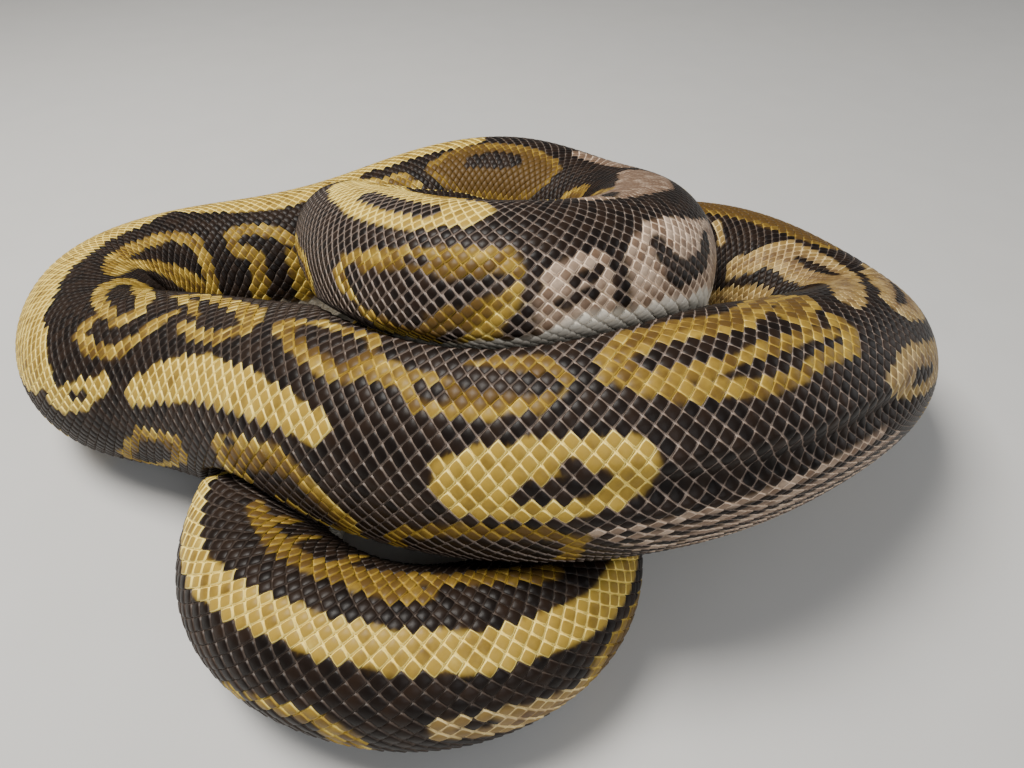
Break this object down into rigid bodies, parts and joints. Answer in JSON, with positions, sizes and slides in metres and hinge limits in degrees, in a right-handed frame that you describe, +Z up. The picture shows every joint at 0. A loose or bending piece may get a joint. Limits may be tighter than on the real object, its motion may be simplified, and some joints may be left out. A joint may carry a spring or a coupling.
{
  "type": "coiled ball python",
  "caption": "Still, life-size ball python lying in a tight coil, its tail looped in front and its head resting in the middle of the coil.",
  "frame": {"origin": "on the floor, under the middle of the coil's length and width", "axes": "+X to the viewer's right, +Y away from the viewer, +Z up; the tail loop lies towards -Y"},
  "size_m": [0.2808, 0.2059, 0.0943],
  "materials": {
    "body_skin": "small smooth glossy scales, near-black brown with golden tan blotches",
    "head_skin": "irregular smooth head scales, dark brown with a pale stripe through each eye",
    "tail_skin": "small smooth glossy scales, a golden stripe along the back between dark bands",
    "eye": "wet dark eye"
  },
  "bodies": {
    "root": {"head": "head_skin", "eye_left": "eye", "eye_right": "eye", "neck": "body_skin", "trunk_01": "body_skin", "trunk_02": "body_skin", "trunk_03": "body_skin", "trunk_04": "body_skin", "trunk_05": "body_skin", "trunk_06": "body_skin", "trunk_07": "body_skin", "trunk_08": "body_skin", "trunk_09": "body_skin", "trunk_10": "body_skin", "trunk_11": "body_skin", "tail": "tail_skin"}
  },
  "joints": []
}
